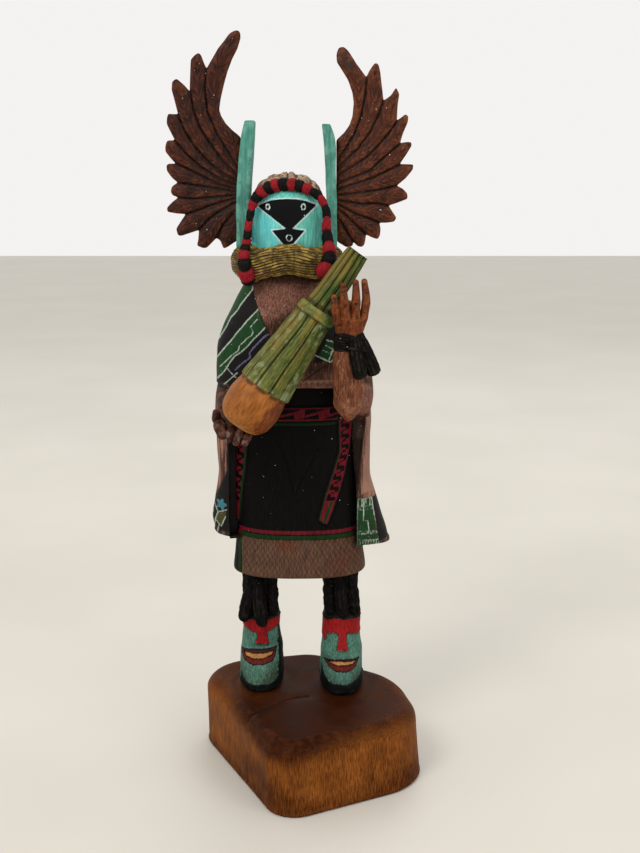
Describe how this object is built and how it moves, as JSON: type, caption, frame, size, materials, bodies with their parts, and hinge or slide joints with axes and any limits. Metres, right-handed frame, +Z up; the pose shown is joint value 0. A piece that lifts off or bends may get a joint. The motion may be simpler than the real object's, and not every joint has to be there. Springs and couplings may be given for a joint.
{
  "type": "kachina doll",
  "caption": "Carved and painted wooden doll of a robed, winged figure in a case mask, holding a gourd wrapped in green leaves, standing on a rough-shaped wooden block",
  "frame": {"origin": "middle of the block's underside, on the surface that the doll stands on", "axes": "+Z up, the figure faces -Y, its own left side is at +X"},
  "size_m": [0.1325, 0.1243, 0.3842],
  "materials": {
    "stained_block": "brown-stained and oiled cottonwood, dark on top and lighter on the sides",
    "painted_figure": "cottonwood with matt paint in black, turquoise, red, green, brown and ochre",
    "turquoise_boards": "flat boards with dusty turquoise paint",
    "stained_wings": "dark reddish-brown stained wood with carved feathers",
    "painted_bundle": "olive-green painted leaves over a bare orange-brown bowl",
    "painted_hands": "orange-brown painted hands with black marks and black yarn"
  },
  "bodies": {
    "root": {"base_block": "stained_block", "figure": "painted_figure", "right_side_board": "turquoise_boards", "left_side_board": "turquoise_boards", "right_wing": "stained_wings", "left_wing": "stained_wings", "gourd_bundle": "painted_bundle", "left_forearm": "painted_hands", "right_hand": "painted_hands"}
  },
  "joints": []
}
